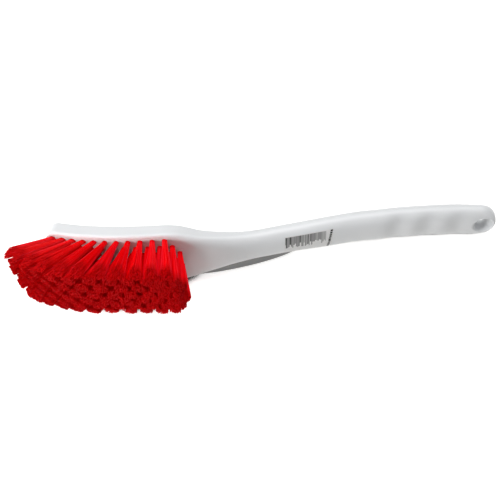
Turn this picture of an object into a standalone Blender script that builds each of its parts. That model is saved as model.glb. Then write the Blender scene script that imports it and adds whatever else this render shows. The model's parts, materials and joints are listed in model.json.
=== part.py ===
"""A long-handled cleaning brush, lying on its side and leaning on its back edge.

The brush is one moulding, with a bowed head, a waisted neck and a curved
handle with finger grooves and a hanging hole. Seven staggered rows of tufts
stand on the head's face and fan out past its toe, and a label is wrapped
round the underside of the handle.

Everything is modelled in the brush's own axes: +X from the toe to the
handle's end, +Y from the bristles to the back, and +Z across the width.
"""
import math

import bmesh
import bpy
from mathutils import Vector

# Head of the moulding
HEAD_LENGTH = 0.1170
HEAD_WIDTH = 0.0600
HEAD_THICKNESS = 0.0135
HEAD_BOW = 0.0068
TOE_CORNER_RADIUS = 0.0125
EDGE_RADIUS = 0.0022
# Share of the head's length from the toe, and share of the bow
HEAD_SPINE_SHARES = ((0, 1), (0.29, 0.23), (0.56, 0), (0.79, 0.15), (1, 0.48))

# Handle of the moulding, from the heel of the head to its end
HANDLE_LENGTH = 0.2734
HANDLE_RISE = 0.0409
NECK_WIDTH = 0.0286
NECK_THICKNESS = 0.0196
GRIP_WIDTH = 0.0310
GRIP_THICKNESS = 0.0200
END_THICKNESS = 0.0170
END_CORNER_RADIUS = 0.0145
END_EDGE_RADIUS = 0.0055
# How much of the handle's section is rounded; the rest is its narrow flats
OVAL_SHARE = 0.94
# Share of the handle's length, and share of its rise
HANDLE_SPINE_SHARES = (
    (0.051, 0.022), (0.087, 0.054), (0.163, 0.152), (0.238, 0.276), (0.313, 0.408),
    (0.391, 0.531), (0.467, 0.650), (0.547, 0.773), (0.627, 0.853), (0.703, 0.924),
    (0.783, 0.971), (0.859, 1), (0.935, 0.995), (1, 0.980))
# Share of the handle's length, and how far the section has gone over from head to neck
WAIST_SHARES = (
    (-0.05, 0), (-0.012, 0.08), (0.019, 0.24), (0.056, 0.47), (0.105, 0.68), (0.155, 0.86),
    (0.205, 0.97), (0.24, 1), (1, 1))
# The same from the neck to the grip, and from the grip to the handle's end
GRIP_SHARES = ((0, 0), (0.313, 0), (0.47, 1), (1, 1))
END_SHARES = ((0, 0), (0.86, 0), (0.95, 1), (1, 1))

# Finger grooves under the grip
GROOVE_COUNT = 3
GROOVE_PITCH = 0.0272
GROOVE_DEPTH = 0.0021
GROOVE_SETBACK = 0.0192

# Hanging hole, through the handle's end
HOLE_DIAMETER = 0.0155
HOLE_SETBACK = 0.0110
HOLE_FLARE = 0.0026

# Tufts: rows across the head, numbered from the +Z side
ROW_COUNT = 7
ROW_PITCH = 0.0077
TUFT_WIDTH = 0.0044
TUFT_FIRST_PITCH = 0.0090
TUFT_PITCH_STEP = 0.00015
TUFT_TOE_MARGIN = 0.0078
TUFTS_IN_OUTER_ROWS = 11
TUFTS_IN_INNER_ROWS = 12
INNER_FULL_ROWS = (3, 5)
TOE_LEAN = math.radians(53)
HEEL_LEAN = math.radians(-11)
TOE_FLARE_SHARE = 0.22

# Trimmed tips: level under the heel, and sweeping up towards the toe
TUFT_LENGTH = 0.0375
TIP_SWEEP = 0.0190
TIP_SWEEP_START = 0.0470
TIP_SWEEP_REACH = 0.0720
# Bevel that runs round the tips: where it starts, its reach, and how much of a tuft it takes
BEVEL_START_X = 0.1180
BEVEL_START_Z = 0.0190
BEVEL_REACH = 0.0090
BEVEL_HEEL_SHARE = 0.11
BEVEL_TOE_SHARE = 0.26

# Strands of a tuft, and the slice of backing that each pair of tufts stands on
STRANDS_ALONG = 3
STRANDS_ACROSS = 2
STRAND_SPREAD_SHARE = 1.30
STRAND_TIP_SHARE = 0.95
SLICE_DEPTH = 0.0050
SLICE_PROUD = 0.0002
CLEARANCE = 0.0003

# Label on the underside, behind the neck
LABEL_LENGTH = 0.0420
LABEL_SETBACK = 0.0870
LABEL_WRAP = math.radians(80)
LABEL_THICKNESS = 0.00025

# How the brush lies: a first guess of its roll, and the rounds that settle it
REST_ROLL_GUESS = math.radians(20)
REST_ROUNDS = 8

# Fineness of the mesh
CORNER_STEPS = 5
END_STEPS = 6
RING_STEP = 0.0060
HOLE_SIDES = 32
LABEL_STEPS_ALONG = 6
LABEL_STEPS_ROUND = 8
CUT_OVERRUN = 0.0020

HEEL_X = HEAD_LENGTH
END_X = HEAD_LENGTH + HANDLE_LENGTH


def clear_scene():
    for item in list(bpy.data.objects):
        bpy.data.objects.remove(item, do_unlink=True)


def material(name, colour, roughness, coat=0):
    made = bpy.data.materials.new(name)
    made.use_nodes = True
    shader = made.node_tree.nodes["Principled BSDF"]
    shader.inputs["Base Color"].default_value = (*colour, 1)
    shader.inputs["Roughness"].default_value = roughness
    shader.inputs["Metallic"].default_value = 0
    shader.inputs["Coat Weight"].default_value = coat
    made.diffuse_color = (*colour, 1)
    return made


def mix(start, stop, share):
    return start + (stop - start) * share


def follow(table, place):
    """Reads a smooth curve through a table of points at a place along it."""
    last = len(table) - 1
    if place <= table[0][0]:
        return table[0][1]
    if place >= table[last][0]:
        return table[last][1]
    i = max(k for k in range(last) if table[k][0] <= place)

    def slope(k):
        low, high = table[max(k - 1, 0)], table[min(k + 1, last)]
        return (high[1] - low[1]) / (high[0] - low[0])

    (x0, y0), (x1, y1) = table[i], table[i + 1]
    span = x1 - x0
    t = (place - x0) / span
    return ((2 * t**3 - 3 * t**2 + 1) * y0 + (t**3 - 2 * t**2 + t) * span * slope(i)
            + (3 * t**2 - 2 * t**3) * y1 + (t**3 - t**2) * span * slope(i + 1))


def spine_table():
    """Lists the centre line's points: the bowed head, then the rising handle."""
    head = [(HEAD_LENGTH * along, HEAD_BOW * bow) for along, bow in HEAD_SPINE_SHARES]
    heel_y = head[-1][1]
    handle = [(HEEL_X + HANDLE_LENGTH * along, heel_y + HANDLE_RISE * rise)
              for along, rise in HANDLE_SPINE_SHARES]
    return head + handle


SPINE = spine_table()


def rounded_off(half, radius, distance):
    """Draws a half size in over the last stretch before an end, along a circle's arc."""
    if distance >= radius:
        return half
    return half - radius + math.sqrt(max(radius**2 - (radius - distance)**2, 0))


def half_sizes(x):
    """Gives the section's half thickness, half width and the two reaches of its corners."""
    along = (x - HEEL_X) / HANDLE_LENGTH
    waist = follow(WAIST_SHARES, along)
    grip = follow(GRIP_SHARES, along)
    end = follow(END_SHARES, along)
    thick = mix(HEAD_THICKNESS, mix(mix(NECK_THICKNESS, GRIP_THICKNESS, grip), END_THICKNESS, end), waist) / 2
    wide = mix(HEAD_WIDTH, mix(NECK_WIDTH, GRIP_WIDTH, grip), waist) / 2
    corner_thick = mix(EDGE_RADIUS, OVAL_SHARE * thick, waist)
    corner_wide = mix(EDGE_RADIUS, OVAL_SHARE * wide, waist)
    thick_here = rounded_off(rounded_off(thick, EDGE_RADIUS, x), END_EDGE_RADIUS, END_X - x)
    wide_here = rounded_off(rounded_off(wide, TOE_CORNER_RADIUS, x), END_CORNER_RADIUS, END_X - x)
    return thick_here, wide_here, corner_thick * thick_here / thick, corner_wide * wide_here / wide


def groove(x):
    """Gives the depth of the finger grooves at a place along the underside."""
    start = END_X - GROOVE_SETBACK - GROOVE_COUNT * GROOVE_PITCH
    turns = (x - start) / GROOVE_PITCH
    if turns <= 0 or turns >= GROOVE_COUNT:
        return 0
    return GROOVE_DEPTH * (1 - math.cos(math.tau * turns)) / 2


def section_point(x, angle, quarter):
    """Gives a point of the section; the angle runs from +Z towards the underside."""
    thick, wide, corner_thick, corner_wide = half_sizes(x)
    back = 1 if quarter >= 2 else -1
    side = 1 if quarter in (0, 3) else -1
    y = back * (thick - corner_thick) - corner_thick * math.sin(angle)
    z = side * (wide - corner_wide) + corner_wide * math.cos(angle)
    if y < 0:
        y += groove(x) * (y / thick)**2
    return Vector((x, follow(SPINE, x) + y, z))


def section_ring(x):
    return [section_point(x, math.pi / 2 * (quarter + step / CORNER_STEPS), quarter)
            for quarter in range(4) for step in range(CORNER_STEPS + 1)]


def face_y(x):
    """Gives the height of the head's tufted face."""
    return follow(SPINE, x) - half_sizes(x)[0]


def ring_places():
    """Spaces the rings evenly, and closer where the toe and the end are rounded."""
    quarter_turns = [math.pi / 2 * step / END_STEPS for step in range(END_STEPS)]
    toe = [TOE_CORNER_RADIUS * (1 - math.cos(turn)) for turn in quarter_turns]
    end = [END_X - END_CORNER_RADIUS * (1 - math.cos(turn)) for turn in reversed(quarter_turns)]
    reach = END_X - END_CORNER_RADIUS - TOE_CORNER_RADIUS
    count = math.ceil(reach / RING_STEP)
    return toe + [TOE_CORNER_RADIUS + reach * step / count for step in range(count + 1)] + end


def loft(mesh, rings):
    """Skins a row of closed rings and caps both ends."""
    loops = [[mesh.verts.new(point) for point in ring] for ring in rings]
    for near, far in zip(loops, loops[1:]):
        for i in range(len(near)):
            j = (i + 1) % len(near)
            mesh.faces.new((near[i], near[j], far[j], far[i]))
    mesh.faces.new(reversed(loops[0]))
    mesh.faces.new(loops[-1])


def add_object(name, mesh, finish, parent, smooth_below=None):
    """Turns a bmesh into a named object under its parent."""
    bmesh.ops.recalc_face_normals(mesh, faces=mesh.faces)
    data = bpy.data.meshes.new(name)
    mesh.to_mesh(data)
    mesh.free()
    if finish:
        data.materials.append(finish)
    if smooth_below:
        data.shade_smooth()
        data.set_sharp_from_angle(angle=smooth_below)
    made = bpy.data.objects.new(name, data)
    bpy.context.scene.collection.objects.link(made)
    made.parent = parent
    return made


def cut(target, name, mesh, parent):
    """Cuts a hidden solid out of the target."""
    cutter = add_object(name, mesh, None, parent)
    cutter.hide_render = True
    cutter.display_type = "WIRE"
    step = target.modifiers.new(name, "BOOLEAN")
    step.operation = "DIFFERENCE"
    step.solver = "EXACT"
    step.object = cutter


def hole_cutter():
    """Turns the hanging hole: a bore with a flared mouth on both faces."""
    mesh = bmesh.new()
    x = END_X - HOLE_SETBACK
    centre_y = follow(SPINE, x)
    bore = HOLE_DIAMETER / 2
    mouth = END_THICKNESS / 2
    half = [(bore, mouth - HOLE_FLARE), (bore + HOLE_FLARE / 3, mouth - HOLE_FLARE / 3),
            (bore + HOLE_FLARE, mouth), (bore + HOLE_FLARE, mouth + CUT_OVERRUN)]
    profile = [(0, -half[-1][1])] + [(r, -y) for r, y in reversed(half)] + half + [(0, half[-1][1])]
    line = [mesh.verts.new((x + radius, centre_y + y, 0)) for radius, y in profile]
    edges = [mesh.edges.new(pair) for pair in zip(line, line[1:])]
    bmesh.ops.spin(mesh, geom=line + edges, cent=(x, centre_y, 0), axis=(0, 1, 0),
                   angle=math.tau, steps=HOLE_SIDES, use_merge=True)
    bmesh.ops.remove_doubles(mesh, verts=mesh.verts, dist=CLEARANCE / 10)
    return mesh


class Tuft:
    """One tuft: where it leaves the face, which way it leans and where it is trimmed."""

    def __init__(self, x, z, share):
        fan = (1 + math.cos(math.pi * min(max(share, 0), 1))) / 2
        self.fan = fan
        self.lean = mix(HEEL_LEAN, TOE_LEAN, fan)
        self.flare = TOE_FLARE_SHARE * fan
        self.x = x
        self.z = z
        self.half_along = TUFT_WIDTH / math.cos(self.lean) / 2
        self.half_across = TUFT_WIDTH / 2
        self.tip_x = self.find_tip()
        slant = math.atan(TIP_SWEEP * 2 * max(TIP_SWEEP_START - self.tip_x, 0) / TIP_SWEEP_REACH**2)
        self.tip_share = math.cos(slant) * math.cos(self.lean) / math.cos(self.lean - slant)

    def find_tip(self):
        """Walks down the tuft's axis to the trimmed surface, halving each step."""
        base_y = face_y(self.x)
        length, step = 0, TUFT_LENGTH
        while step > CLEARANCE / 100:
            ahead = length + step
            x = self.x - ahead * math.sin(self.lean)
            if base_y - ahead * math.cos(self.lean) > trim_y(x):
                length = ahead
            else:
                step /= 2
        return self.x - length * math.sin(self.lean)


def trim_y(x):
    """Gives the height of the trimmed tips: level, then sweeping up past the toe."""
    level = HEAD_THICKNESS / 2 + TUFT_LENGTH
    beyond = max(TIP_SWEEP_START - x, 0) / TIP_SWEEP_REACH
    return TIP_SWEEP * beyond**2 - level


def kept_share(x, z, fan):
    """Gives how much of a strand is left by the bevel that runs round the tips."""
    outside = math.hypot(max(x - BEVEL_START_X, 0), max(abs(z) - BEVEL_START_Z, 0))
    return 1 - mix(BEVEL_HEEL_SHARE, BEVEL_TOE_SHARE, fan) * min(outside / BEVEL_REACH, 1)


def tuft_rows():
    """Sets the tufts out: each row's pitch grows towards the heel, and rows are staggered."""
    rows = []
    for row in range(1, ROW_COUNT + 1):
        z = ROW_PITCH * ((ROW_COUNT + 1) / 2 - row)
        count = TUFTS_IN_INNER_ROWS if row in INNER_FULL_ROWS else TUFTS_IN_OUTER_ROWS
        shift = 0.5 if row % 2 == 0 else 0
        rows.append([Tuft(tuft_x(k + shift), z, (k + shift) / (TUFTS_IN_OUTER_ROWS - 1)) for k in range(count)])
    return rows


def tuft_x(k):
    return TUFT_TOE_MARGIN + TUFT_FIRST_PITCH * k + TUFT_PITCH_STEP * k * (k - 1) / 2


def slice_bounds(tufts):
    """Gives the outline of the backing slice that the tufts share."""
    return (tufts[0].x - tufts[0].half_along, tufts[-1].x + tufts[-1].half_along,
            tufts[0].z - tufts[0].half_across, tufts[0].z + tufts[0].half_across)


def slice_floor_y(tufts):
    low, high, _, _ = slice_bounds(tufts)
    return max(face_y(low), face_y(high)) + SLICE_DEPTH


def tuft_mesh(tufts):
    """Grows the strands of one or two tufts out of the cells of their backing slice."""
    lines_x, owners = [], []
    for tuft in tufts:
        for step in range(STRANDS_ALONG + 1):
            lines_x.append(mix(tuft.x - tuft.half_along, tuft.x + tuft.half_along, step / STRANDS_ALONG))
            owners.append(tuft if step < STRANDS_ALONG else None)
    _, _, low_z, high_z = slice_bounds(tufts)
    lines_z = [mix(low_z, high_z, step / STRANDS_ACROSS) for step in range(STRANDS_ACROSS + 1)]

    mesh = bmesh.new()
    grid = [[mesh.verts.new((x, face_y(x) - SLICE_PROUD, z)) for z in lines_z] for x in lines_x]
    strands = []
    for i in range(len(lines_x) - 1):
        for j in range(STRANDS_ACROSS):
            cell = mesh.faces.new((grid[i][j], grid[i + 1][j], grid[i + 1][j + 1], grid[i][j + 1]))
            if owners[i]:
                strands.append((cell, owners[i]))

    bottom = bmesh.ops.extrude_face_region(mesh, geom=list(mesh.faces), use_keep_orig=True)
    floor = [item for item in bottom["geom"] if isinstance(item, bmesh.types.BMVert)]
    for vert in floor:
        vert.co.y = slice_floor_y(tufts)
    under = [item for item in bottom["geom"] if isinstance(item, bmesh.types.BMFace)]
    bmesh.ops.dissolve_faces(mesh, faces=under)

    for cell, tuft in strands:
        grow_strand(mesh, cell, tuft)
    return mesh


def grow_strand(mesh, cell, tuft):
    """Extrudes one cell and moves it to the strand's trimmed tip."""
    tip = bmesh.ops.extrude_discrete_faces(mesh, faces=[cell])["faces"][0]
    centre = tip.calc_center_median()
    middle_x = tuft.tip_x + STRAND_SPREAD_SHARE * tuft.tip_share * (centre.x - tuft.x)
    middle_z = tuft.z * (1 + tuft.flare) + STRAND_SPREAD_SHARE * (centre.z - tuft.z)
    kept = kept_share(middle_x, tuft.z + STRAND_SPREAD_SHARE * (centre.z - tuft.z), tuft.fan)
    for vert in tip.verts:
        x = middle_x + STRAND_TIP_SHARE * tuft.tip_share * (vert.co.x - centre.x)
        z = middle_z + STRAND_TIP_SHARE * (vert.co.z - centre.z)
        vert.co = vert.co.lerp(Vector((x, trim_y(x), z)), kept)


def pocket_mesh(groups):
    """Makes the pockets for all backing slices, a clearance larger all round."""
    mesh = bmesh.new()
    for tufts in groups:
        low_x, high_x, low_z, high_z = slice_bounds(tufts)
        low_y = min(face_y(low_x), face_y(high_x)) - CUT_OVERRUN
        high_y = slice_floor_y(tufts) + CLEARANCE
        box = bmesh.ops.create_cube(mesh, size=1)["verts"]
        size = (high_x - low_x + 2 * CLEARANCE, high_y - low_y, high_z - low_z + 2 * CLEARANCE)
        bmesh.ops.scale(mesh, vec=size, verts=box)
        middle = ((low_x + high_x) / 2, (low_y + high_y) / 2, (low_z + high_z) / 2)
        bmesh.ops.translate(mesh, vec=middle, verts=box)
    return mesh


def label_mesh():
    """Wraps a thin sheet round the underside, a clearance off the surface."""
    mesh = bmesh.new()

    def place(i, j, offset):
        x = HEEL_X + LABEL_SETBACK + LABEL_LENGTH * i / LABEL_STEPS_ALONG
        angle = math.pi / 2 + LABEL_WRAP * (j / LABEL_STEPS_ROUND - 0.5)
        thick, wide, _, _ = half_sizes(x)
        out = Vector((0, -math.sin(angle) / thick, math.cos(angle) / wide)).normalized()
        return section_point(x, angle, 0 if angle <= math.pi / 2 else 1) + out * offset

    layers = []
    for offset in (CLEARANCE, CLEARANCE + LABEL_THICKNESS):
        layers.append([[mesh.verts.new(place(i, j, offset)) for j in range(LABEL_STEPS_ROUND + 1)]
                       for i in range(LABEL_STEPS_ALONG + 1)])
    for sheet in layers:
        for i in range(LABEL_STEPS_ALONG):
            for j in range(LABEL_STEPS_ROUND):
                mesh.faces.new((sheet[i][j], sheet[i + 1][j], sheet[i + 1][j + 1], sheet[i][j + 1]))
    rims = [edge for edge in mesh.edges if edge.is_boundary]
    bmesh.ops.bridge_loops(mesh, edges=rims)
    return mesh


def way_down():
    """Finds the way down for a brush that touches the ground with toe, heel and grip."""
    points = [point for x in ring_places() for point in section_ring(x)]
    places = (0, HEAD_LENGTH / 2, HEEL_X + HANDLE_LENGTH / 2, END_X)
    down = Vector((0, math.sin(REST_ROLL_GUESS), -math.cos(REST_ROLL_GUESS)))
    for _ in range(REST_ROUNDS):
        toe, heel, grip = (max((point for point in points if start <= point.x <= stop), key=down.dot)
                           for start, stop in zip(places, places[1:]))
        down = (grip - toe).cross(heel - toe).normalized()
        if down.z > 0:
            down.negate()
    return down


def lay_down(rest, pieces):
    """Turns the brush onto its side, leaning back on three places, centred on the ground."""
    rest.rotation_mode = "QUATERNION"
    rest.rotation_quaternion = way_down().rotation_difference(Vector((0, 0, -1)))
    bpy.context.view_layer.update()
    depsgraph = bpy.context.evaluated_depsgraph_get()
    points = []
    for piece in pieces:
        seen = piece.evaluated_get(depsgraph)
        points += [piece.matrix_world @ vert.co for vert in seen.data.vertices]
    low = Vector([min(point[axis] for point in points) for axis in range(3)])
    high = Vector([max(point[axis] for point in points) for axis in range(3)])
    rest.location = (-(low.x + high.x) / 2, -(low.y + high.y) / 2, -low.z)
    bpy.context.view_layer.update()


def main():
    clear_scene()
    white = material("white_plastic", (0.86, 0.87, 0.88), 0.42)
    red = material("red_bristle", (0.72, 0.004, 0.010), 0.35)
    film = material("label_film", (0.80, 0.80, 0.80), 0.55)

    rest = bpy.data.objects.new("lying_brush", None)
    bpy.context.scene.collection.objects.link(rest)

    body = bmesh.new()
    loft(body, [section_ring(x) for x in ring_places()])
    block = add_object("handle_block", body, white, rest, smooth_below=math.radians(35))

    groups = {}
    for number, row in enumerate(tuft_rows(), start=1):
        for first in range(0, len(row), 2):
            tufts = row[first:first + 2]
            kind = "tuft_pair" if len(tufts) == 2 else "tuft_single"
            groups[f"{kind}_r{number}_{first // 2 + 1}"] = tufts
    cut(block, "cutter_pockets", pocket_mesh(groups.values()), rest)
    cut(block, "cutter_hanging_hole", hole_cutter(), rest)

    pieces = [block]
    pieces += [add_object(name, tuft_mesh(tufts), red, rest) for name, tufts in groups.items()]
    pieces.append(add_object("label", label_mesh(), film, rest, smooth_below=math.radians(35)))
    lay_down(rest, pieces)


main()
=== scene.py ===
# %% [markdown]
# # A long-handled cleaning brush, leaning back on a table
# The brush is one white plastic moulding, with a bowed head, a waisted neck and
# a curved grip, and 79 tufts of red bristles that fan out past its toe. A thin
# printed film sits under the grip. This notebook dresses the CAD frame: every
# piece stands where its CAD node does, and block, label and rows of tufts are
# drawn from the CAD's own sizes. Tones, lamps, the shade on the floor and how
# far the bristles splay were set by comparing renders with the photograph.

# %% The fixed frame
import json
import math
import random

import bmesh
import bpy
from mathutils import Matrix, Vector


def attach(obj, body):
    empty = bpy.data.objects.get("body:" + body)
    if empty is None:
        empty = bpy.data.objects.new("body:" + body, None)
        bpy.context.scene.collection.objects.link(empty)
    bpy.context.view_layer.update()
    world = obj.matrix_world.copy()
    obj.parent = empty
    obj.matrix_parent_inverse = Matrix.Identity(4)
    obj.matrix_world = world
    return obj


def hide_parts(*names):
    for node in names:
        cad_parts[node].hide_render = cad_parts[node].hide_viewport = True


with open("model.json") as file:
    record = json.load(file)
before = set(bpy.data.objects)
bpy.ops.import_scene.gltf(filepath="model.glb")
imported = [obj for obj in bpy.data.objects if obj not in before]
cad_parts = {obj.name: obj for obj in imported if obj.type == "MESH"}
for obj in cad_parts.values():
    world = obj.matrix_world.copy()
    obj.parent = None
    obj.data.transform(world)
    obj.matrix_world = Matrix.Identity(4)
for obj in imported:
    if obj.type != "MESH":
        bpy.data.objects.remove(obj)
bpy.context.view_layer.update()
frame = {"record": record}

# %% [markdown]
# ## The brush's own axes
# A brush is easiest to describe lying straight: +X runs from its toe to the end
# of the handle, +Y from the bristles to the back and +Z across its width. On
# the table it leans back, until toe, heel and grip all touch. The record's
# mount says which way the head's flat side faces, so it also gives the turn
# from the brush's axes to the table's. The other way would be to repeat an
# angle and an offset here, which would have to be kept equal by hand.

# %% Sizes of the head
HEAD_LENGTH = 0.1170
HEAD_WIDTH = 0.0600
HEAD_THICKNESS = 0.0135
HEAD_BOW = 0.0068
TOE_CORNER_RADIUS = 0.0125
EDGE_RADIUS = 0.0022
HEAD_SPINE_SHARES = ((0, 1), (0.29, 0.23), (0.56, 0), (0.79, 0.15), (1, 0.48))
HEEL_X = HEAD_LENGTH
print("head", HEAD_LENGTH, "by", HEAD_WIDTH)

# %% From the brush's axes to the table's
head_side = frame["record"]["mounts"][0]
side_middle = Vector(((TOE_CORNER_RADIUS + HEEL_X) / 2, 0, -HEAD_WIDTH / 2))
turn = Vector((0, 0, -1)).rotation_difference(Vector(head_side["axis"])).to_matrix()
to_table = Matrix.Translation(Vector(head_side["pos_m"]) - turn @ side_middle) @ turn.to_4x4()
print("rolled by", round(math.degrees(to_table.to_euler().x), 2), "degrees")

# %% [markdown]
# ## The camera
# The camera stands in front of the bristles and looks down on them steeply,
# near enough for the toe to look larger than the handle's end. Its
# axes are given in the brush's axes, because that is how they were found: from
# the places of tufts, hole and label in the picture. A lens as long as the
# sensor is wide sees as far to each side as half its distance.

# %% Camera
LOOK_AT = Vector((0.174, 0.00645, 0))
LOOK_ALONG = Vector((-0.06488, 0.67892, -0.73134))
PICTURE_RIGHT = Vector((0.99789, 0.04420, -0.04749))
CAMERA_DISTANCE = 0.435
LENS_MM = 36
SENSOR_MM = 36
NEAREST_SEEN = 0.01

picture_up = PICTURE_RIGHT.cross(LOOK_ALONG)
camera_axes = Matrix((PICTURE_RIGHT, picture_up, -LOOK_ALONG)).transposed().to_4x4()
camera_place = Matrix.Translation(LOOK_AT - CAMERA_DISTANCE * LOOK_ALONG)
camera = bpy.data.objects.new("camera", bpy.data.cameras.new("camera"))
camera.data.lens = LENS_MM
camera.data.sensor_width = SENSOR_MM
camera.data.clip_start = NEAREST_SEEN
camera.matrix_world = to_table @ camera_place @ camera_axes
bpy.context.scene.collection.objects.link(camera)
bpy.context.scene.camera = camera
print("camera at", tuple(round(v, 3) for v in camera.matrix_world.translation))

# %% [markdown]
# ## Shorthands for materials
# The finishes below are mostly sums: coordinates are scaled, compared and mixed
# until they say how dark or how red a place is. Adding a node, setting its
# inputs and linking them takes many lines, and the sum gets lost in them. So a
# few helpers each add one node, take sockets or plain numbers, and give back
# the new node's result.

# %% Helpers that add one node each
def plain_material(name):
    """Makes a material and gives it with its nodes, its links and its shader."""
    made = bpy.data.materials.new(name)
    made.use_nodes = True
    return made, made.node_tree.nodes, made.node_tree.links, made.node_tree.nodes["Principled BSDF"]


def feed(links, socket, value):
    """Links an input to another node's socket, or sets it to a plain value."""
    if isinstance(value, bpy.types.NodeSocket):
        links.new(value, socket)
    else:
        socket.default_value = value


def sum_node(nodes, links, operation, *values):
    """Adds a Math node and gives its result."""
    made = nodes.new("ShaderNodeMath")
    made.operation = operation
    for socket, value in zip(made.inputs, values):
        feed(links, socket, value)
    return made.outputs[0]


def range_node(nodes, links, source, low, high, to_low=0, to_high=1):
    """Maps one stretch of numbers onto another and holds what lies outside at its ends."""
    made = nodes.new("ShaderNodeMapRange")
    limits = {"From Min": low, "From Max": high, "To Min": to_low, "To Max": to_high}
    for name, limit in limits.items():
        made.inputs[name].default_value = limit
    links.new(source, made.inputs["Value"])
    return made.outputs["Result"]


# This helper also lays the floor's painted shade and the bristles' darker tips.
def layer_node(nodes, links, under, laid_colour, share, blend="MIX"):
    """Lays one colour over another, by a share from 0 to 1, and gives the result."""
    made = nodes.new("ShaderNodeMix")
    made.data_type = "RGBA"
    made.blend_type = blend
    feed(links, made.inputs["A"], under)
    feed(links, made.inputs["B"], laid_colour)
    feed(links, made.inputs["Factor"], share)
    return made.outputs["Result"]


print("helpers for materials ready")

# %% [markdown]
# ## Table and backdrop
# The brush was photographed on plain white. A floor lit until it is white would
# also wash out the brush, so the floor adds a little white of its own, which
# only the camera and reflections see. Shadows stay, because that white is added
# to the lit floor and doesn't replace it. The world does the same for the
# horizon. Two things darken the floor's paint and its own white together. An
# Ambient Occlusion node shades the floor where most of the sky above it is
# hidden, close under the brush. And the picture has a dark wedge with a hard
# edge under the neck, which these soft lamps can't cast, so it is painted: an
# ellipse on the floor, placed where the picture shows it.

# %% Tones and shade of the floor
FLOOR_ROUGHNESS = 0.9
FLOOR_SPECULAR = 0.1
FLOOR_LIFT = 0.75
FLOOR_WHITE = (0.80, 0.79, 0.765, 1)
FLOOR_DARK = (0.06, 0.06, 0.055, 1)
CONTACT_REACH = 0.080
CONTACT_SAMPLES = 32
DARK_SKY_SHARE, OPEN_SKY_SHARE = 0.26, 0.34
WEDGE_MIDDLE = (-0.0165, 0.0072, 0)
WEDGE_HALF_SIZES = (0.051, 0.0072, 1)
WEDGE_TURN = math.radians(13.8)
WEDGE_EDGE_START, WEDGE_EDGE_END = 0.94, 1.06
WEDGE_LIGHT_SHARE = 0.16
print("wedge turned by", round(math.degrees(WEDGE_TURN), 1), "degrees")

# %% Floor material
def wedge_distance(nodes, links):
    """Gives the distance from the wedge's middle, which is 1 at the ellipse's edge."""
    place = nodes.new("ShaderNodeTexCoord")
    wedge = nodes.new("ShaderNodeMapping")
    wedge.vector_type = "TEXTURE"
    wedge.inputs["Location"].default_value = WEDGE_MIDDLE
    wedge.inputs["Rotation"].default_value = (0, 0, WEDGE_TURN)
    wedge.inputs["Scale"].default_value = WEDGE_HALF_SIZES
    links.new(place.outputs["Object"], wedge.inputs["Vector"])
    far_out = nodes.new("ShaderNodeVectorMath")
    far_out.operation = "LENGTH"
    links.new(wedge.outputs["Vector"], far_out.inputs[0])
    return far_out.outputs["Value"]


white_table, nodes, links, shader = plain_material("white_table")
shader.inputs["Roughness"].default_value = FLOOR_ROUGHNESS
shader.inputs["Specular IOR Level"].default_value = FLOOR_SPECULAR
shader.inputs["Emission Color"].default_value = (1, 1, 1, 1)
path = nodes.new("ShaderNodeLightPath")
seen = sum_node(nodes, links, "MAXIMUM", path.outputs["Is Camera Ray"], path.outputs["Is Glossy Ray"])
contact = nodes.new("ShaderNodeAmbientOcclusion")
contact.samples = CONTACT_SAMPLES
contact.inputs["Distance"].default_value = CONTACT_REACH
open_floor = range_node(nodes, links, contact.outputs["AO"], DARK_SKY_SHARE, OPEN_SKY_SHARE)
beside = range_node(nodes, links, wedge_distance(nodes, links),
                    WEDGE_EDGE_START, WEDGE_EDGE_END, WEDGE_LIGHT_SHARE)
bright = sum_node(nodes, links, "MULTIPLY", open_floor, beside)
links.new(layer_node(nodes, links, FLOOR_DARK, FLOOR_WHITE, bright), shader.inputs["Base Color"])
lift = sum_node(nodes, links, "MULTIPLY", sum_node(nodes, links, "MULTIPLY", seen, bright), FLOOR_LIFT)
links.new(lift, shader.inputs["Emission Strength"])
print("material", white_table.name)

# %% Floor
FLOOR_SIDE = 4.0

floor_mesh = bmesh.new()
bmesh.ops.create_grid(floor_mesh, x_segments=1, y_segments=1, size=FLOOR_SIDE / 2)
floor_data = bpy.data.meshes.new("floor")
floor_mesh.to_mesh(floor_data)
floor_mesh.free()
floor_data.materials.append(white_table)
floor = bpy.data.objects.new("floor", floor_data)
bpy.context.scene.collection.objects.link(floor)
print("floor", FLOOR_SIDE, "m wide")

# %% World
WORLD_FILL = 0.15

world = bpy.data.worlds.new("white_room")
bpy.context.scene.world = world
world.use_nodes = True
world_nodes, world_links = world.node_tree.nodes, world.node_tree.links
background = world_nodes["Background"]
background.inputs["Color"].default_value = (1, 1, 1, 1)
world_path = world_nodes.new("ShaderNodeLightPath")
world_strength = world_nodes.new("ShaderNodeMix")
world_strength.inputs["A"].default_value = WORLD_FILL
world_strength.inputs["B"].default_value = 1
world_links.new(world_path.outputs["Is Camera Ray"], world_strength.inputs["Factor"])
world_links.new(world_strength.outputs["Result"], background.inputs["Strength"])
print("world fill", WORLD_FILL)

# %% [markdown]
# ## Lamps
# In the picture the faces that look up are the brightest, the ones that look
# towards the camera are darker, and the brush casts almost no hard shadow. That
# is one large soft lamp overhead and a little behind the brush, and the pale
# room. Two small lamps help it: one low on the left lights the faces that look
# to the toe, and a weak one with a narrow spread lifts the toe's tufts, which
# the others leave too dark. Each is a square area lamp, given by its place, the
# point that it faces, its side in metres and its power in watts.

# %% Lamps
LAMPS = {
    "overhead_lamp": ((0.08, 0.40, 1.12), (0, 0, 0.03), 0.9, 11.5),
    "left_lamp": ((-0.62, -0.34, 0.24), (-0.18, -0.02, 0.03), 0.3, 3.4),
    "toe_lamp": ((-0.38, -0.60, 0.40), (-0.20, -0.03, 0.03), 0.2, 0.065),
}
TOE_LAMP_SPREAD = math.radians(36)

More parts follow.
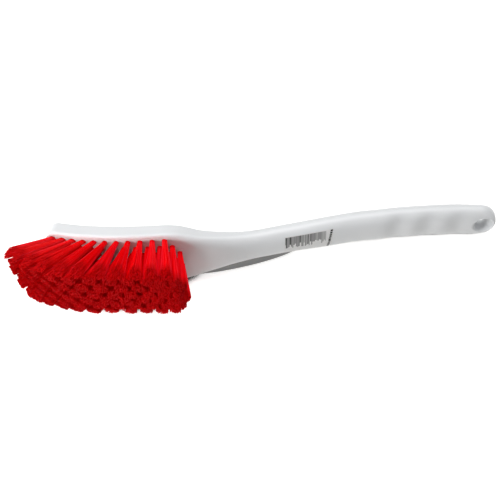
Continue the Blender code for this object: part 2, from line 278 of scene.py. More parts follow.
for name, (place, aim, side, power) in LAMPS.items():
    lamp_data = bpy.data.lights.new(name, "AREA")
    lamp_data.shape = "SQUARE"
    lamp_data.size = side
    lamp_data.energy = power
    lamp = bpy.data.objects.new(name, lamp_data)
    lamp.location = place
    lamp.rotation_euler = (Vector(aim) - Vector(place)).to_track_quat("-Z", "Y").to_euler()
    bpy.context.scene.collection.objects.link(lamp)
bpy.data.lights["toe_lamp"].spread = TOE_LAMP_SPREAD
print(len(LAMPS), "soft lamps")

# %% [markdown]
# ## The skin of moulded plastic
# Moulded plastic is never quite even: its skin has a very fine grain, and its
# tone and gloss change slowly over centimetres. Both are made from noise in
# object coordinates. An image could hold them too, but it would have to be
# unwrapped and would blur close up. Block and label share them, so they are a
# node group, which each material places with amounts of its own.

# %% Inputs and outputs of the skin
SKIN_INPUTS = {"Color": "NodeSocketColor", "Tone Change": "NodeSocketFloat", "Roughness": "NodeSocketFloat",
               "Gloss Change": "NodeSocketFloat", "Grain Size": "NodeSocketFloat"}
SKIN_OUTPUTS = {"Color": "NodeSocketColor", "Roughness": "NodeSocketFloat", "Grain": "NodeSocketFloat"}
PATCHES_PER_METRE = 45
PATCH_DETAIL = 4
GRAIN_DETAIL = 2
print("skin takes", ", ".join(SKIN_INPUTS))

# %% Build the node group
def moulded_skin_group():
    group = bpy.data.node_groups.new("moulded_skin", "ShaderNodeTree")
    for in_out, sockets in (("INPUT", SKIN_INPUTS), ("OUTPUT", SKIN_OUTPUTS)):
        for name, kind in sockets.items():
            group.interface.new_socket(name=name, in_out=in_out, socket_type=kind)
    nodes, links = group.nodes, group.links
    given = nodes.new("NodeGroupInput")
    result = nodes.new("NodeGroupOutput")
    place = nodes.new("ShaderNodeTexCoord")

    patches = nodes.new("ShaderNodeTexNoise")
    patches.inputs["Scale"].default_value = PATCHES_PER_METRE
    patches.inputs["Detail"].default_value = PATCH_DETAIL
    links.new(place.outputs["Object"], patches.inputs["Vector"])
    centred = sum_node(nodes, links, "SUBTRACT", patches.outputs["Fac"], 0.5)

    gloss = sum_node(nodes, links, "MULTIPLY_ADD", centred,
                     given.outputs["Gloss Change"], given.outputs["Roughness"])
    links.new(gloss, result.inputs["Roughness"])
    coloured = nodes.new("ShaderNodeVectorMath")
    coloured.operation = "SCALE"
    links.new(given.outputs["Color"], coloured.inputs[0])
    tone = sum_node(nodes, links, "MULTIPLY_ADD", centred, given.outputs["Tone Change"], 1)
    links.new(tone, coloured.inputs["Scale"])
    links.new(coloured.outputs[0], result.inputs["Color"])

    grain = nodes.new("ShaderNodeTexNoise")
    grain.inputs["Detail"].default_value = GRAIN_DETAIL
    links.new(place.outputs["Object"], grain.inputs["Vector"])
    grains_per_metre = sum_node(nodes, links, "DIVIDE", 1, given.outputs["Grain Size"])
    links.new(grains_per_metre, grain.inputs["Scale"])
    links.new(grain.outputs["Fac"], result.inputs["Grain"])
    return group


moulded_skin = moulded_skin_group()
print("node group", moulded_skin.name)

# %% [markdown]
# ## White moulded plastic
# The block is a dense white plastic with a satin skin. Its white is slightly
# cool. A Bump node turns the grain into a texture too fine to see as bumps, but
# coarse enough to keep the highlights soft and a little broken.

# %% Placing the skin in a material
def place_skin(nodes, links, shader, colour, tone_change, roughness, gloss_change, grain_size, grain_height):
    """Puts the moulded skin into a material and gives its colour."""
    skin = nodes.new("ShaderNodeGroup")
    skin.node_tree = moulded_skin
    skin.inputs["Color"].default_value = (*colour, 1)
    skin.inputs["Tone Change"].default_value = tone_change
    skin.inputs["Roughness"].default_value = roughness
    skin.inputs["Gloss Change"].default_value = gloss_change
    skin.inputs["Grain Size"].default_value = grain_size
    bump = nodes.new("ShaderNodeBump")
    bump.inputs["Distance"].default_value = grain_height
    bump.inputs["Strength"].default_value = 1
    links.new(skin.outputs["Grain"], bump.inputs["Height"])
    links.new(bump.outputs["Normal"], shader.inputs["Normal"])
    links.new(skin.outputs["Roughness"], shader.inputs["Roughness"])
    return skin.outputs["Color"]


white_plastic, nodes, links, shader = plain_material("white_plastic")
block_colour = place_skin(nodes, links, shader, colour=(0.83, 0.845, 0.86), tone_change=0.04, roughness=0.38,
                          gloss_change=0.16, grain_size=0.0008, grain_height=0.00002)
links.new(block_colour, shader.inputs["Base Color"])
print("material", white_plastic.name)

# %% [markdown]
# ## The block's shape
# The block could be cut out of boxes, but it has no flat beginning or end: the
# head narrows into the neck and the neck swells into the grip. So it is lofted.
# One closed ring is drawn from a formula and pushed along the brush, and each
# ring differs a little from the last. Tables of shares say how the centre line
# rises, and how far the section has gone over from head to neck to grip.

# %% Sizes of the handle
HANDLE_LENGTH = 0.2734
HANDLE_RISE = 0.0409
NECK_WIDTH = 0.0286
NECK_THICKNESS = 0.0196
GRIP_WIDTH = 0.0310
GRIP_THICKNESS = 0.0200
END_THICKNESS = 0.0170
END_CORNER_RADIUS = 0.0145
END_EDGE_RADIUS = 0.0055
OVAL_SHARE = 0.94
HANDLE_SPINE_SHARES = (
    (0.051, 0.022), (0.087, 0.054), (0.163, 0.152), (0.238, 0.276), (0.313, 0.408),
    (0.391, 0.531), (0.467, 0.650), (0.547, 0.773), (0.627, 0.853), (0.703, 0.924),
    (0.783, 0.971), (0.859, 1), (0.935, 0.995), (1, 0.980))
WAIST_SHARES = (
    (-0.05, 0), (-0.012, 0.08), (0.019, 0.24), (0.056, 0.47), (0.105, 0.68), (0.155, 0.86),
    (0.205, 0.97), (0.24, 1), (1, 1))
GRIP_SHARES = ((0, 0), (0.313, 0), (0.47, 1), (1, 1))
END_SHARES = ((0, 0), (0.86, 0), (0.95, 1), (1, 1))
END_X = HEAD_LENGTH + HANDLE_LENGTH
print("brush length without bristles", END_X)

# %% Finger grooves
GROOVE_COUNT = 3
GROOVE_PITCH = 0.0272
GROOVE_DEPTH = 0.0021
GROOVE_SETBACK = 0.0192
GROOVES_START_X = END_X - GROOVE_SETBACK - GROOVE_COUNT * GROOVE_PITCH


def groove(x):
    """Gives the depth of the finger grooves at a place along the underside."""
    turns = (x - GROOVES_START_X) / GROOVE_PITCH
    if turns <= 0 or turns >= GROOVE_COUNT:
        return 0
    return GROOVE_DEPTH * (1 - math.cos(math.tau * turns)) / 2


print("grooves start at", round(GROOVES_START_X, 4), "and go", GROOVE_DEPTH, "m deep")

# %% [markdown]
# A smooth curve through a table of points is drawn piece by piece: at every
# point it takes the slope of the line between the two neighbours. This is the
# same curve that the CAD uses, so the dressed block covers the CAD block.

# %% Curves through tables
def mix(start, stop, share):
    return start + (stop - start) * share


def follow(table, place):
    """Reads a smooth curve through a table of points at a place along it."""
    last = len(table) - 1
    if place <= table[0][0]:
        return table[0][1]
    if place >= table[last][0]:
        return table[last][1]
    i = max(k for k in range(last) if table[k][0] <= place)

    def slope(k):
        low, high = table[max(k - 1, 0)], table[min(k + 1, last)]
        return (high[1] - low[1]) / (high[0] - low[0])

    (x0, y0), (x1, y1) = table[i], table[i + 1]
    span = x1 - x0
    t = (place - x0) / span
    return ((2 * t**3 - 3 * t**2 + 1) * y0 + (t**3 - 2 * t**2 + t) * span * slope(i)
            + (3 * t**2 - 2 * t**3) * y1 + (t**3 - t**2) * span * slope(i + 1))


head_spine = [(HEAD_LENGTH * along, HEAD_BOW * bow) for along, bow in HEAD_SPINE_SHARES]
SPINE = head_spine + [(HEEL_X + HANDLE_LENGTH * along, head_spine[-1][1] + HANDLE_RISE * rise)
                      for along, rise in HANDLE_SPINE_SHARES]
print("centre line rises", round(SPINE[-1][1], 4), "m")

# %% The section at any place
def rounded_off(half, radius, distance):
    """Draws a half size in over the last stretch before an end, along a circle's arc."""
    if distance >= radius:
        return half
    return half - radius + math.sqrt(max(radius**2 - (radius - distance)**2, 0))


def half_sizes(x):
    """Gives the section's half thickness, half width and the two reaches of its corners."""
    along = (x - HEEL_X) / HANDLE_LENGTH
    waist, grip, end = (follow(table, along) for table in (WAIST_SHARES, GRIP_SHARES, END_SHARES))
    handle_thickness = mix(mix(NECK_THICKNESS, GRIP_THICKNESS, grip), END_THICKNESS, end)
    thick = mix(HEAD_THICKNESS, handle_thickness, waist) / 2
    wide = mix(HEAD_WIDTH, mix(NECK_WIDTH, GRIP_WIDTH, grip), waist) / 2
    corner_thick = mix(EDGE_RADIUS, OVAL_SHARE * thick, waist)
    corner_wide = mix(EDGE_RADIUS, OVAL_SHARE * wide, waist)
    thick_here = rounded_off(rounded_off(thick, EDGE_RADIUS, x), END_EDGE_RADIUS, END_X - x)
    wide_here = rounded_off(rounded_off(wide, TOE_CORNER_RADIUS, x), END_CORNER_RADIUS, END_X - x)
    return thick_here, wide_here, corner_thick * thick_here / thick, corner_wide * wide_here / wide


def section_point(x, angle, quarter):
    """Gives a point of the section; the angle runs from +Z towards the underside."""
    thick, wide, corner_thick, corner_wide = half_sizes(x)
    back = 1 if quarter >= 2 else -1
    side = 1 if quarter in (0, 3) else -1
    y = back * (thick - corner_thick) - corner_thick * math.sin(angle)
    z = side * (wide - corner_wide) + corner_wide * math.cos(angle)
    if y < 0:
        y += groove(x) * (y / thick)**2
    return Vector((x, follow(SPINE, x) + y, z))


def face_y(x):
    """Gives the height of the head's tufted face."""
    return follow(SPINE, x) - half_sizes(x)[0]


neck_x = HEEL_X + WAIST_SHARES[-2][0] * HANDLE_LENGTH
print("neck is", round(2 * half_sizes(neck_x)[1], 4), "m wide")

# %% [markdown]
# The ring has rounded corners and short flats between them. The long flats of
# the head get extra points, so that the holes that are cut later have small
# faces around them and the shading stays clean. The rings are closer together
# at toe and end, where the outline is round.

# %% Rings
CORNER_STEPS = 10
FLAT_STEPS = (14, 3, 14, 3)
TOE_STEPS = 12
RING_STEP = 0.0025


def section_ring(x):
    """Gives the points of one closed ring, corner by corner, with a flat after each."""
    corners = [[section_point(x, math.pi / 2 * (quarter + step / CORNER_STEPS), quarter)
                for step in range(CORNER_STEPS + 1)] for quarter in range(4)]
    ring = []
    for quarter, steps in enumerate(FLAT_STEPS):
        last, following = corners[quarter][-1], corners[(quarter + 1) % 4][0]
        ring += corners[quarter]
        ring += [last.lerp(following, step / steps) for step in range(1, steps)]
    return ring


def ring_places():
    """Gives the places of all rings along the brush, from toe to end."""
    turns = [math.pi / 2 * step / TOE_STEPS for step in range(TOE_STEPS)]
    toe = [TOE_CORNER_RADIUS * (1 - math.cos(turn)) for turn in turns]
    end = [END_X - END_CORNER_RADIUS * (1 - math.cos(turn)) for turn in reversed(turns)]
    reach = END_X - END_CORNER_RADIUS - TOE_CORNER_RADIUS
    count = math.ceil(reach / RING_STEP)
    return toe + [TOE_CORNER_RADIUS + reach * step / count for step in range(count + 1)] + end


RING_POINTS = len(section_ring(HEEL_X))
print(len(ring_places()), "rings of", RING_POINTS, "points")

# %% [markdown]
# The loft starts from a filled circle. Its face is extruded once for each ring,
# and its corners are moved to the ring's points. Extruding a face leaves its
# old place open, so the first ring is filled again at the end.

# %% Loft the block
def block_mesh():
    mesh = bmesh.new()
    bmesh.ops.create_circle(mesh, cap_ends=True, segments=RING_POINTS, radius=HEAD_THICKNESS)
    mesh.faces.ensure_lookup_table()
    cap = mesh.faces[0]
    for number, x in enumerate(ring_places()):
        if number:
            cap = bmesh.ops.extrude_discrete_faces(mesh, faces=[cap])["faces"][0]
        for vert, point in zip(cap.verts, section_ring(x)):
            vert.co = point
    rim = [edge for edge in mesh.edges if edge.is_boundary]
    bmesh.ops.holes_fill(mesh, edges=rim, sides=RING_POINTS)
    bmesh.ops.recalc_face_normals(mesh, faces=mesh.faces)
    return mesh


lofted = block_mesh()
print("lofted block:", len(lofted.faces), "faces before it is cut")

# %% [markdown]
# ## The tufts' places
# Tufts are punched in seven rows that are staggered, a little closer together
# at the toe. The ones at the toe lean forward by 53 degrees, the ones at the
# heel lean back a little, and all are trimmed to one surface that curves up
# towards the head's back past the toe. Where a tuft meets that surface is found
# by walking down its axis in ever smaller steps. A bevel then shortens the
# outermost filaments. On the lower side it takes off less than in the CAD,
# because the picture's lower outline reaches further down.

# %% Sizes of the tufts
ROW_COUNT = 7
ROW_PITCH = 0.0077
TUFT_WIDTH = 0.0044
TUFT_FIRST_PITCH = 0.0090
TUFT_PITCH_STEP = 0.00015
TUFT_TOE_MARGIN = 0.0078
TUFTS_IN_OUTER_ROWS = 11
TUFTS_IN_INNER_ROWS = 12
INNER_FULL_ROWS = (3, 5)
TOE_LEAN = math.radians(53)
HEEL_LEAN = math.radians(-11)
TOE_FLARE_SHARE = 0.22
TUFT_LENGTH = 0.0375
FINEST_STEP = 0.00001
TIP_SWEEP = 0.0190
TIP_SWEEP_START = 0.0470
TIP_SWEEP_REACH = 0.0720


def trim_y(x):
    """Gives the height of the trimmed tips: level, then curving up past the toe."""
    beyond = max(TIP_SWEEP_START - x, 0) / TIP_SWEEP_REACH
    return TIP_SWEEP * beyond**2 - HEAD_THICKNESS / 2 - TUFT_LENGTH


print("tips lie", round(-trim_y(HEEL_X), 4), "m below the head's middle")

# %% Bevel round the tips
BEVEL_START_X = 0.1180
BEVEL_START_Z = 0.0190
BEVEL_REACH = 0.0090
BEVEL_LIMIT = 1.2
BEVEL_HEEL_SHARE = 0.11
BEVEL_TOE_SHARE = 0.26
BEVEL_LOWER_SHARE = 0.45


def kept_share(x, z, fan):
    """Gives how much of a filament is left by the bevel that runs round the tips."""
    outside = math.hypot(max(x - BEVEL_START_X, 0), max(abs(z) - BEVEL_START_Z, 0))
    side = mix(1, BEVEL_LOWER_SHARE, min(max(-z, 0) / BEVEL_START_Z, 1))
    full = mix(BEVEL_HEEL_SHARE, BEVEL_TOE_SHARE, fan)
    return 1 - side * full * min(outside / BEVEL_REACH, BEVEL_LIMIT)


for side, z in (("upper", HEAD_WIDTH / 2), ("lower", -HEAD_WIDTH / 2)):
    print("the toe's", side, "filaments keep", round(kept_share(0, z, 1), 3), "of their length")

# %% Where each tuft starts, leans and ends
class Tuft:
    """A tuft's foot, direction and length; its fan goes from 1 at the toe to 0 at the heel."""
    def __init__(self, x, z, share):
        self.fan = (1 + math.cos(math.pi * min(max(share, 0), 1))) / 2
        self.lean = mix(HEEL_LEAN, TOE_LEAN, self.fan)
        self.foot = Vector((x, face_y(x), z))
        self.down = Vector((-math.sin(self.lean), -math.cos(self.lean), 0))
        self.length = 0
        step = TUFT_LENGTH
        while step > FINEST_STEP:
            ahead = self.foot + self.down * (self.length + step)
            if ahead.y > trim_y(ahead.x):
                self.length += step
            else:
                step /= 2
        self.down.z = z * TOE_FLARE_SHARE * self.fan / self.length


def tuft_x(k):
    """Gives a tuft's place along its row; the pitch grows from toe to heel."""
    return TUFT_TOE_MARGIN + TUFT_FIRST_PITCH * k + TUFT_PITCH_STEP * k * (k - 1) / 2


rows = {}
for row in range(1, ROW_COUNT + 1):
    count = TUFTS_IN_INNER_ROWS if row in INNER_FULL_ROWS else TUFTS_IN_OUTER_ROWS
    stagger = 0.5 if row % 2 == 0 else 0
    row_z = ROW_PITCH * ((ROW_COUNT + 1) / 2 - row)
    rows[row] = [Tuft(tuft_x(k + stagger), row_z, (k + stagger) / (TUFTS_IN_OUTER_ROWS - 1))
                 for k in range(count)]
tufts = [tuft for row_tufts in rows.values() for tuft in row_tufts]
lengths = [tuft.length for tuft in tufts]
print(len(tufts), "tufts,", round(min(lengths), 4), "to", round(max(lengths), 4), "m long")

# %% [markdown]
# ## Cutting the block
# Two kinds of opening go into the block. Each tuft stands in its own round
# hole, a little wider than the tuft and drilled at the tuft's own lean. The
# hanging hole at the end of the handle is turned on a spindle, with a rounded
# mouth on both faces. Both are made as solids and subtracted with a Boolean
# modifier, as the mould's pins do on the real brush.

# %% Pins for the tuft holes
HOLE_SIDES = 20
TUFT_HOLE_DEPTH = 0.0060
TUFT_HOLE_SLACK = 0.00012
PIN_OVERRUN = 0.0030


def pin_mesh():
    mesh = bmesh.new()
    radius = TUFT_WIDTH / 2 + TUFT_HOLE_SLACK
    for tuft in tufts:
        axis = tuft.down.normalized()
        middle = tuft.foot + axis * (PIN_OVERRUN - TUFT_HOLE_DEPTH) / 2
        stand = Matrix.Translation(middle) @ axis.to_track_quat("Z", "Y").to_matrix().to_4x4()
        bmesh.ops.create_cone(mesh, cap_ends=True, segments=HOLE_SIDES, radius1=radius, radius2=radius,
                              depth=TUFT_HOLE_DEPTH + PIN_OVERRUN, matrix=stand)
    return mesh


pins = pin_mesh()
print(len(pins.faces) // (HOLE_SIDES + 2), "pins")

# %% Spindle for the hanging hole
HOLE_DIAMETER = 0.0155
HOLE_SETBACK = 0.0110
HOLE_FLARE = 0.0026
HOLE_FACETS = 72
FLARE_STEPS = 6
MERGE_DISTANCE = 0.00002


def spindle_mesh():
    mesh = bmesh.new()
    x = END_X - HOLE_SETBACK
    centre = Vector((x, follow(SPINE, x), 0))
    bore, mouth = HOLE_DIAMETER / 2, END_THICKNESS / 2
    turns = [math.pi / 2 * step / FLARE_STEPS for step in range(FLARE_STEPS + 1)]
    half = [(bore + HOLE_FLARE * (1 - math.cos(turn)), mouth - HOLE_FLARE * (1 - math.sin(turn)))
            for turn in turns]
    half.append((half[-1][0], mouth + PIN_OVERRUN))
    profile = [(0, -half[-1][1])] + [(r, -y) for r, y in reversed(half)] + half + [(0, half[-1][1])]
    line = [mesh.verts.new(centre + Vector((radius, y, 0))) for radius, y in profile]
    edges = [mesh.edges.new(pair) for pair in zip(line, line[1:])]
    bmesh.ops.spin(mesh, geom=line + edges, cent=centre, axis=(0, 1, 0), angle=math.tau,
                   steps=HOLE_FACETS, use_merge=True)
    bmesh.ops.remove_doubles(mesh, verts=mesh.verts, dist=MERGE_DISTANCE)
    bmesh.ops.recalc_face_normals(mesh, faces=mesh.faces)
    return mesh


spindle = spindle_mesh()
print("spindle", len(spindle.faces), "faces, mouth", round(HOLE_DIAMETER + 2 * HOLE_FLARE, 4), "m wide")

# %% [markdown]
# A bmesh becomes an object in three steps: it is moved to the table, written
# into a mesh, and shaded smooth except at sharp edges. The object itself stays
# at the origin, so that patterns on object coordinates don't slide.

# %% Helpers for pieces
SHARP_ANGLE = math.radians(35)


def shade(data):
    """Shades a mesh smooth, but keeps its sharp edges."""
    data.shade_smooth()
    data.set_sharp_from_angle(angle=SHARP_ANGLE)


def add_piece(name, mesh, finish=None):
    """Turns a bmesh in the brush's axes into an object whose place is in its mesh."""
    bmesh.ops.transform(mesh, matrix=to_table, verts=mesh.verts)
    data = bpy.data.meshes.new(name)
    mesh.to_mesh(data)
    mesh.free()
    if finish:
        data.materials.append(finish)
    shade(data)
    piece = bpy.data.objects.new(name, data)
    bpy.context.scene.collection.objects.link(piece)
    return piece


def cut(piece, cutter):
    """Subtracts the cutter from the piece for good, and removes the cutter."""
    step = piece.modifiers.new("cut", "BOOLEAN")
    step.operation = "DIFFERENCE"
    step.solver = "EXACT"
    step.object = cutter
    evaluated = piece.evaluated_get(bpy.context.evaluated_depsgraph_get())
    result = bpy.data.meshes.new_from_object(evaluated)
    piece.modifiers.clear()
    piece.data = result
    bpy.data.objects.remove(cutter, do_unlink=True)


print("edges over", round(math.degrees(SHARP_ANGLE)), "degrees stay sharp")

# %% Make the block
block = add_piece("brush_block", lofted, white_plastic)
cut(block, add_piece("tuft_pins", pins))
cut(block, add_piece("hole_spindle", spindle))
shade(block.data)
block.modifiers.new("even_normals", "WEIGHTED_NORMAL").keep_sharp = True
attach(block, "root")
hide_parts("handle_block")
print("block", len(block.data.polygons), "faces")

# %% [markdown]
# ## The label
# A thin printed film is stuck to the underside of the grip. It is a flat grid
# whose points are laid on the grip's section, and a bmesh operator gives it its
# thickness. The print is generic: a band of plain grey bars with an uneven
# lower edge. Near the label's end towards the hanging hole the material also
# draws one slanted line of dark dashes. An image would do as well, but the bars
# follow from chance numbers, so the material draws them from the grid's own UV
# map, and they follow the curve. u runs along the handle and v across.

# %% Sizes and inks of the print, and the dashed line
PRINT_CELLS = 38
PRINT_START, PRINT_END = 0.015, 0.86
PRINT_LOW, PRINT_HIGH = 0.38, 0.95
UNEVEN_FOOT = 0.20
FOOT_SHIFT = 50
BAR_CHANCE_SHARE, BAR_ALONG_SHARE, BAR_START_TONE = 0.44, 0.36, -0.02
BAR_DARK = (0.03, 0.03, 0.03, 1)
BAR_LIGHT = (0.80, 0.80, 0.80, 1)
# A slanted line of dark dashes, drawn near the label's end towards the hanging hole.
DASH_START, DASH_END, DASH_SLANT = 0.884, 0.932, 0.070
DASH_COUNT = 9
DASH_SHARE = 0.78
DASH_DARK = (0.006, 0.006, 0.006, 1)
print("print of", PRINT_CELLS, "cells and", DASH_COUNT, "dashes")

# %% Helpers for the print
def chance_node(nodes, links, source, shift):
    """Gives every printed cell along a UV axis a chance number of its own."""
    cell = sum_node(nodes, links, "FLOOR", sum_node(nodes, links, "MULTIPLY_ADD", source, PRINT_CELLS, shift))
    chance = nodes.new("ShaderNodeTexWhiteNoise")
    chance.noise_dimensions = "1D"
    links.new(cell, chance.inputs["W"])
    return chance.outputs["Value"]


def between_node(nodes, links, source, low, high):
    """Gives 1 where a UV axis lies between two places."""
    return sum_node(nodes, links, "COMPARE", source, (low + high) / 2, (high - low) / 2)


def uv_axes(nodes, links, map_name):
    """Gives the two axes of a UV map."""
    read = nodes.new("ShaderNodeUVMap")
    read.uv_map = map_name
    axes = nodes.new("ShaderNodeSeparateXYZ")
    links.new(read.outputs["UV"], axes.inputs[0])
    return axes.outputs["X"], axes.outputs["Y"]


print("a cell is", round((PRINT_END - PRINT_START) / PRINT_CELLS, 4), "of the label's length")

# %% Label finish
label_film, nodes, links, shader = plain_material("label_film")
film_colour = place_skin(nodes, links, shader, colour=(0.80, 0.80, 0.80), tone_change=0.05, roughness=0.45,
                         gloss_change=0.12, grain_size=0.0010, grain_height=0.00001)
along, across = uv_axes(nodes, links, "print")

tone = sum_node(nodes, links, "MULTIPLY_ADD", chance_node(nodes, links, along, 0), BAR_CHANCE_SHARE,
                sum_node(nodes, links, "MULTIPLY_ADD", along, BAR_ALONG_SHARE, BAR_START_TONE))
bar = nodes.new("ShaderNodeValToRGB")
bar.color_ramp.elements[0].color = BAR_DARK
bar.color_ramp.elements[1].color = BAR_LIGHT
links.new(tone, bar.inputs["Fac"])
foot = sum_node(nodes, links, "MULTIPLY_ADD", chance_node(nodes, links, along, FOOT_SHIFT),
                UNEVEN_FOOT, PRINT_LOW)
band = sum_node(nodes, links, "MULTIPLY", sum_node(nodes, links, "GREATER_THAN", across, foot),
                sum_node(nodes, links, "LESS_THAN", across, PRINT_HIGH))
band = sum_node(nodes, links, "MULTIPLY", band, between_node(nodes, links, along, PRINT_START, PRINT_END))

rhythm = sum_node(nodes, links, "FRACT", sum_node(nodes, links, "MULTIPLY", across, DASH_COUNT))
slanted = sum_node(nodes, links, "MULTIPLY_ADD", across, -DASH_SLANT, along)
dashes = sum_node(nodes, links, "MULTIPLY", sum_node(nodes, links, "LESS_THAN", rhythm, DASH_SHARE),
                  between_node(nodes, links, slanted, DASH_START, DASH_END))
film_marks = layer_node(nodes, links, film_colour, bar.outputs["Color"], band)
film_marks = layer_node(nodes, links, film_marks, DASH_DARK, dashes)
links.new(film_marks, shader.inputs["Base Color"])
print("material", label_film.name)

# %% Label
LABEL_LENGTH = 0.0420
LABEL_SETBACK = 0.0870
LABEL_WRAP = math.radians(80)
LABEL_GAP = 0.00030
LABEL_THICKNESS = 0.00012
LABEL_STEPS = 20


def label_place(u, v):
    """Gives the point of the label at its print coordinates."""
    x = HEEL_X + LABEL_SETBACK + LABEL_LENGTH * u
    angle = math.pi / 2 + LABEL_WRAP * (0.5 - v)
    thick, wide, _, _ = half_sizes(x)
    out = Vector((0, -math.sin(angle) / thick, math.cos(angle) / wide)).normalized()
    return section_point(x, angle, 0 if angle <= math.pi / 2 else 1) + out * LABEL_GAP


def label_mesh():
    mesh = bmesh.new()
    print_map = mesh.loops.layers.uv.new("print")
    bmesh.ops.create_grid(mesh, x_segments=LABEL_STEPS, y_segments=LABEL_STEPS, size=0.5)
    for face in mesh.faces:
        for loop in face.loops:
            loop[print_map].uv = (loop.vert.co.x + 0.5, loop.vert.co.y + 0.5)
    for vert in mesh.verts:
        vert.co = label_place(vert.co.x + 0.5, vert.co.y + 0.5)
    bmesh.ops.recalc_face_normals(mesh, faces=mesh.faces)
    if sum(face.normal.y * face.calc_area() for face in mesh.faces) > 0:
        bmesh.ops.reverse_faces(mesh, faces=mesh.faces)
    bmesh.ops.solidify(mesh, geom=mesh.faces, thickness=LABEL_THICKNESS)
    return mesh


label = add_piece("grip_label", label_mesh(), label_film)
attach(label, "root")
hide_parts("label")
print("label", len(label.data.polygons), "faces")

# %% [markdown]
# ## Red bristles
# A bristle is a stiff filament about 0.4 mm thick. In the picture single
# filaments show as fine bright streaks on a deep, clean red, and their cut ends
# are darker and duller. The finish reads two numbers from each filament's UV
# map: u is a chance number of its own, which picks its red, and the palest,
# pinkish reds are painted highlight streaks. v runs from its foot to its tip,
# and over its last stretch the filament turns darker and rougher. A material
# for each red would do the same, but it would take many of them.

# %% Bristle finish
RED_SPECULAR = 0.06
DEEP_RED = (0.90, 0.0, 0.001, 1)
CLEAN_RED = (1.0, 0.0, 0.004, 1)
CLEAN_RED_PLACE = 0.75
# The pinkish pale red at the top of the ramp is a painted highlight: filaments that draw it show as bright
# streaks.
HIGHLIGHT_PINK = (1.0, 0.014, 0.035, 1)
# Over the last stretch of each filament, towards its tip, the red is multiplied darker and the roughness
# rises.
DARK_TIP_START, DARK_TIP_END = 0.78, 0.97
TIP_DARKENING = (0.66, 0.40, 0.40, 1)
FOOT_ROUGHNESS, TIP_ROUGHNESS = 0.30, 0.60

red_bristle, nodes, links, shader = plain_material("red_bristle")
shader.inputs["Specular IOR Level"].default_value = RED_SPECULAR
chance, height = uv_axes(nodes, links, "filament")
red = nodes.new("ShaderNodeValToRGB")
red.color_ramp.elements[0].color = DEEP_RED
red.color_ramp.elements[1].color = HIGHLIGHT_PINK
red.color_ramp.elements.new(CLEAN_RED_PLACE).color = CLEAN_RED
links.new(chance, red.inputs["Fac"])
near_tip = range_node(nodes, links, height, DARK_TIP_START, DARK_TIP_END)
shaded = layer_node(nodes, links, red.outputs["Color"], TIP_DARKENING, near_tip, blend="MULTIPLY")
links.new(shaded, shader.inputs["Base Color"])
links.new(range_node(nodes, links, near_tip, 0, 1, FOOT_ROUGHNESS, TIP_ROUGHNESS), shader.inputs["Roughness"])
print("material", red_bristle.name)

# %% [markdown]
# ## Growing a tuft
# A tuft could be one brush-shaped solid with lines painted on it, but its edge
# would look like plastic, and its end like a coin. So every filament is made. A
# filament is a five-sided tube: a small circle is extruded a few times and its
# cap is moved along the filament's path. The feet are laid out like the seeds
# of a sunflower, which fills a round hole evenly. The tuft stays tight where it
# leaves the hole and splays towards its tip, more at the heel than at the toe
# and most between them, and every filament is cut where it meets the trimmed
# surface.

# %% Sizes of a filament
FILAMENTS = 150
FILAMENT_WIDTH = 0.00038
TIP_WIDTH_SHARE = 1.65
FILAMENT_SIDES = 5
FILAMENT_LEVELS = (-0.10, 0.0, 0.20, 0.42, 0.66, 1.0)
GOLDEN_ANGLE = math.pi * (3 - math.sqrt(5))
HEEL_SPLAY = 2.55
TOE_SPLAY = 2.20
MIDDLE_SPLAY = 0.42
WANDER = 0.00048
TUFT_TILT = 0.012
TIP_DOME = 0.0006
UNEVEN_TRIM = 0.00072
TRIM_ROUNDS = 8
print(FILAMENTS, "filaments a tuft")

# %% The path of a filament
def filament_path(tuft, tilt, number, dice):
    """Gives the points of one filament from inside its hole to its trimmed tip."""
    reach = (TUFT_WIDTH - FILAMENT_WIDTH) / 2 * math.sqrt((number + 0.5) / FILAMENTS)
    angle = number * GOLDEN_ANGLE
    beside = Vector((math.cos(tuft.lean), -math.sin(tuft.lean), 0))
    offset = beside * reach * math.cos(angle) + Vector((0, 0, reach * math.sin(angle)))
    splay = mix(HEEL_SPLAY, TOE_SPLAY, tuft.fan**2) + MIDDLE_SPLAY * 4 * tuft.fan * (1 - tuft.fan)
    drift = Vector((dice.gauss(0, WANDER), 0, dice.gauss(0, WANDER)))
    points = []
    for level in FILAMENT_LEVELS:
        opened = max(level, 0)
        points.append(tuft.foot + (tuft.down + tilt * opened) * tuft.length * level
                      + offset * mix(1, splay, opened) + drift * opened)
    # The last point is moved along the filament until it lies on the trimmed
    # surface, but at the toe, where the filaments fan, it keeps its own length.
    square, before = points[-1], points[-2]
    along = (square - before).normalized()
    tip = square
    for _ in range(TRIM_ROUNDS):
        tip = tip + along * ((trim_y(tip.x) - tip.y) / along.y)
    shorter = TIP_DOME * (1 - tuft.fan) * (number / FILAMENTS)**2 + dice.uniform(0, UNEVEN_TRIM)
    points[-1] = tip.lerp(square, tuft.fan**3) - along * shorter
    kept = kept_share(tip.x, tuft.foot.z + offset.z * splay, tuft.fan)
    return [tuft.foot + (point - tuft.foot) * kept for point in points]


print("a path has", len(FILAMENT_LEVELS), "points")

# %% Grow all filaments of a tuft together
def width_at(level):
    """Gives a filament's width, as a share: it is widest at its tip, so the tuft's end looks full."""
    return mix(1, TIP_WIDTH_SHARE, max(level, 0))


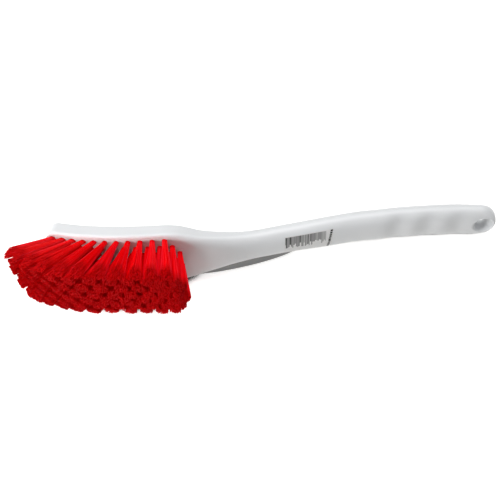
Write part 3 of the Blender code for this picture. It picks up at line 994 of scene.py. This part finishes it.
def grow_tuft(mesh, uv_map, tuft, dice):
    """Starts a small circle for every filament, then extrudes all their caps level by level."""
    tilt = Vector((dice.gauss(0, TUFT_TILT), 0, dice.gauss(0, TUFT_TILT)))
    paths = [filament_path(tuft, tilt, number, dice) for number in range(FILAMENTS)]
    caps = []
    for path in paths:
        upright = (path[1] - path[0]).to_track_quat("Z", "Y").to_matrix().to_4x4()
        stand = Matrix.Translation(path[0]) @ upright
        ring = bmesh.ops.create_circle(mesh, cap_ends=True, segments=FILAMENT_SIDES,
                                       radius=FILAMENT_WIDTH / 2, matrix=stand)["verts"]
        caps.append(ring[0].link_faces[0])
    chances = [dice.random() for _ in paths]
    for level in range(1, len(FILAMENT_LEVELS)):
        below, here = FILAMENT_LEVELS[level - 1], FILAMENT_LEVELS[level]
        widen = width_at(here) / width_at(below)
        grown = bmesh.ops.extrude_discrete_faces(mesh, faces=caps)["faces"]
        for cap, path, chance in zip(grown, paths, chances):
            for vert in cap.verts:
                vert.co = path[level] + (vert.co - path[level - 1]) * widen
            for edge in cap.edges:
                for face in edge.link_faces:
                    for loop in face.loops:
                        high = loop.vert in cap.verts
                        loop[uv_map].uv = (chance, max(here if high else below, 0))
        caps = grown


print("tips are", round(FILAMENT_WIDTH * width_at(1), 5), "m wide")

# %% [markdown]
# ## One piece for each tuft node
# The CAD keeps two neighbouring tufts of a row in one node, and the last tuft
# of a longer row in a node of its own. The dressed tufts use the same groups,
# so each piece stands exactly where its node does. The chance numbers are drawn
# from a seed per piece, so every run gives the same brush.

# %% Tufts
TUFTS_IN_NODE = 2
SEED_SHIFT = 7
SEEDS_PER_ROW = 100

made_tufts = 0
for row, row_tufts in rows.items():
    for first in range(0, len(row_tufts), TUFTS_IN_NODE):
        group = row_tufts[first:first + TUFTS_IN_NODE]
        place = f"r{row}_{first // TUFTS_IN_NODE + 1}"
        node = ("tuft_pair_" if len(group) == TUFTS_IN_NODE else "tuft_single_") + place
        dice = random.Random(SEEDS_PER_ROW * row + first + SEED_SHIFT)
        mesh = bmesh.new()
        uv_map = mesh.loops.layers.uv.new("filament")
        for tuft in group:
            grow_tuft(mesh, uv_map, tuft, dice)
        piece = add_piece("bristles_" + place, mesh, red_bristle)
        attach(piece, "root")
        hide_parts(node)
        made_tufts += len(group)
print(made_tufts, "tufts grown")

# %% [markdown]
# ## Finish
# Last come the picture's sizes and colours.

# %% Sizes and colours of the picture
scene = bpy.context.scene
scene.view_settings.view_transform = "Standard"
